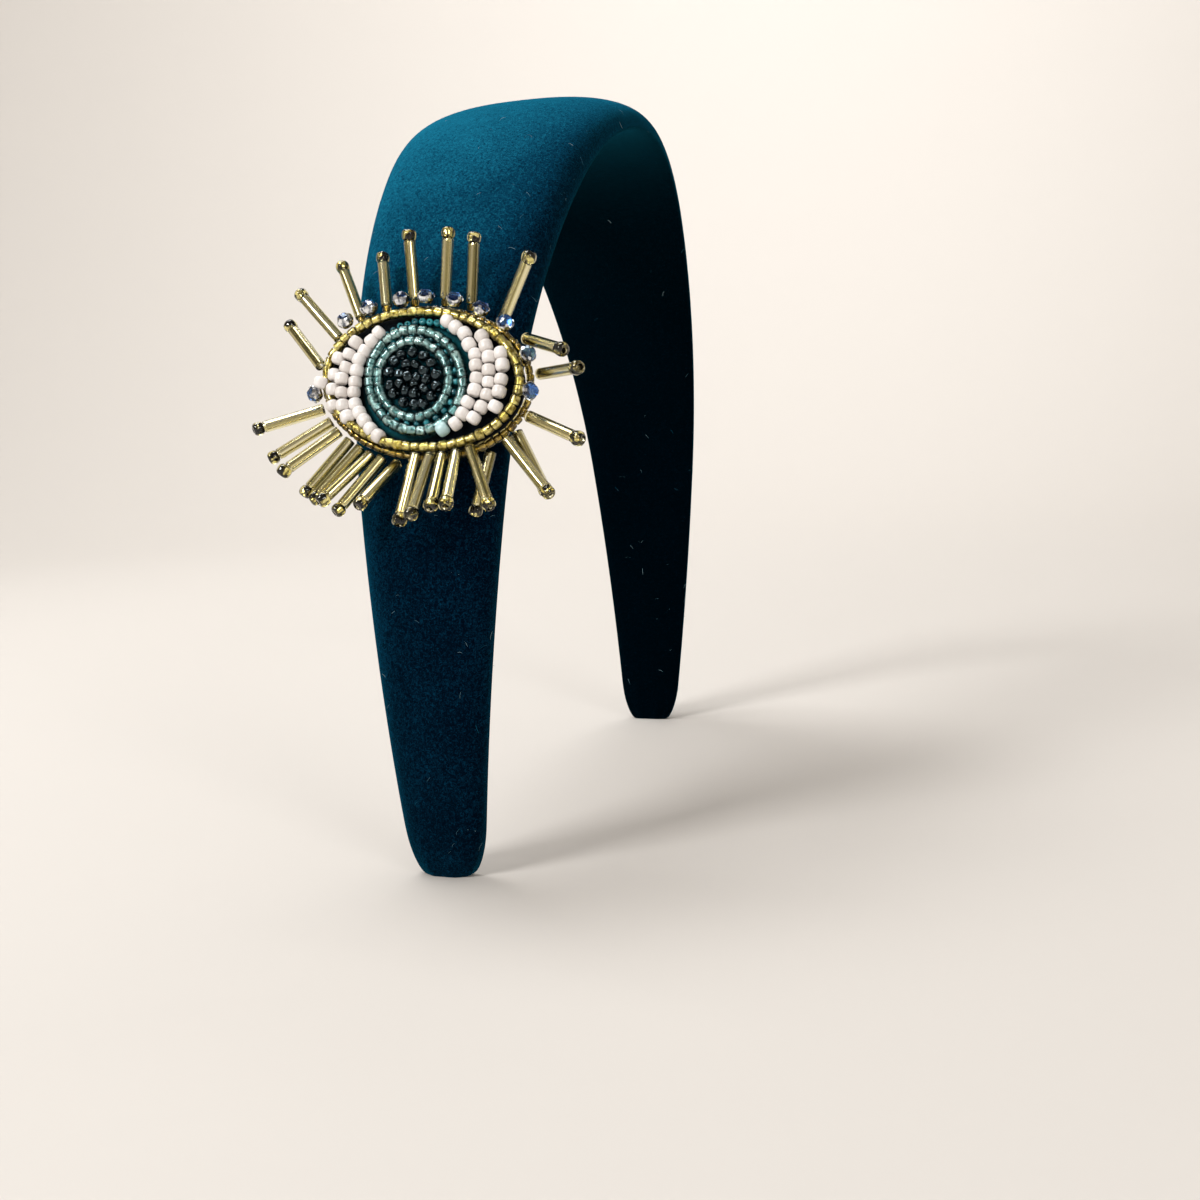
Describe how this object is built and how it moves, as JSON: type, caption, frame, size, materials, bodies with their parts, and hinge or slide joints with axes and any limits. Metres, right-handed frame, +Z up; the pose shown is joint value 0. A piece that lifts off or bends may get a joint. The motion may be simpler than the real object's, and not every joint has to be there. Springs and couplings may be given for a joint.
{
  "type": "velvet headband",
  "caption": "Padded velvet headband, wide at the crown and tapering to rounded tips, with a bead-embroidered eye brooch with bugle lashes sewn to one arm.",
  "frame": {"origin": "middle of the whole object's box, on the surface that the two tips stand on", "axes": "+Z up from tips to crown, +X from the arm with the brooch to the plain arm, -Y the way the wearer looks"},
  "size_m": [0.1666, 0.0628, 0.1533],
  "materials": {
    "velvet": "short cut-pile velvet, petrol blue, matt with a soft sheen",
    "felt": "dark pressed felt",
    "gold_beads": "clear yellow glass seed beads lined with metal foil",
    "aqua_beads": "aqua glass seed beads lined with silver",
    "hematite_beads": "glossy black metallic seed beads",
    "white_beads": "opaque chalk-white seed beads",
    "crystal": "pale blue foil-backed cut stone in a bright silver cup",
    "bugle_glass": "straw-coloured glass tube lined with pale gold"
  },
  "bodies": {
    "root": {"velvet_band": "velvet", "eye_base": "felt", "gold_rim_string": "gold_beads", "gold_edge_string": "gold_beads", "iris_outer_string": "aqua_beads", "iris_inner_string": "aqua_beads", "pupil_bead_field": "hematite_beads", "white_bead_field_front": "white_beads", "white_bead_field_back": "white_beads", "crystal_01": "crystal", "crystal_02": "crystal", "crystal_03": "crystal", "crystal_04": "crystal", "crystal_05": "crystal", "crystal_06": "crystal", "crystal_07": "crystal", "crystal_08": "crystal", "crystal_09": "crystal", "crystal_10": "crystal", "lash_01": "bugle_glass", "lash_02": "bugle_glass", "lash_03": "bugle_glass", "lash_04": "bugle_glass", "lash_05": "bugle_glass", "lash_06": "bugle_glass", "lash_07": "bugle_glass", "lash_08": "bugle_glass", "lash_09": "bugle_glass", "lash_10": "bugle_glass", "lash_11": "bugle_glass", "lash_12": "bugle_glass", "lash_13": "bugle_glass", "lash_14": "bugle_glass", "lash_15": "bugle_glass", "lash_16": "bugle_glass", "lash_17": "bugle_glass", "lash_18": "bugle_glass", "lash_19": "bugle_glass", "lash_20": "bugle_glass", "lash_21": "bugle_glass", "lash_22": "bugle_glass", "lash_23": "bugle_glass", "lash_24": "bugle_glass", "lash_25": "bugle_glass", "lash_26": "bugle_glass", "lash_27": "bugle_glass"}
  },
  "joints": []
}
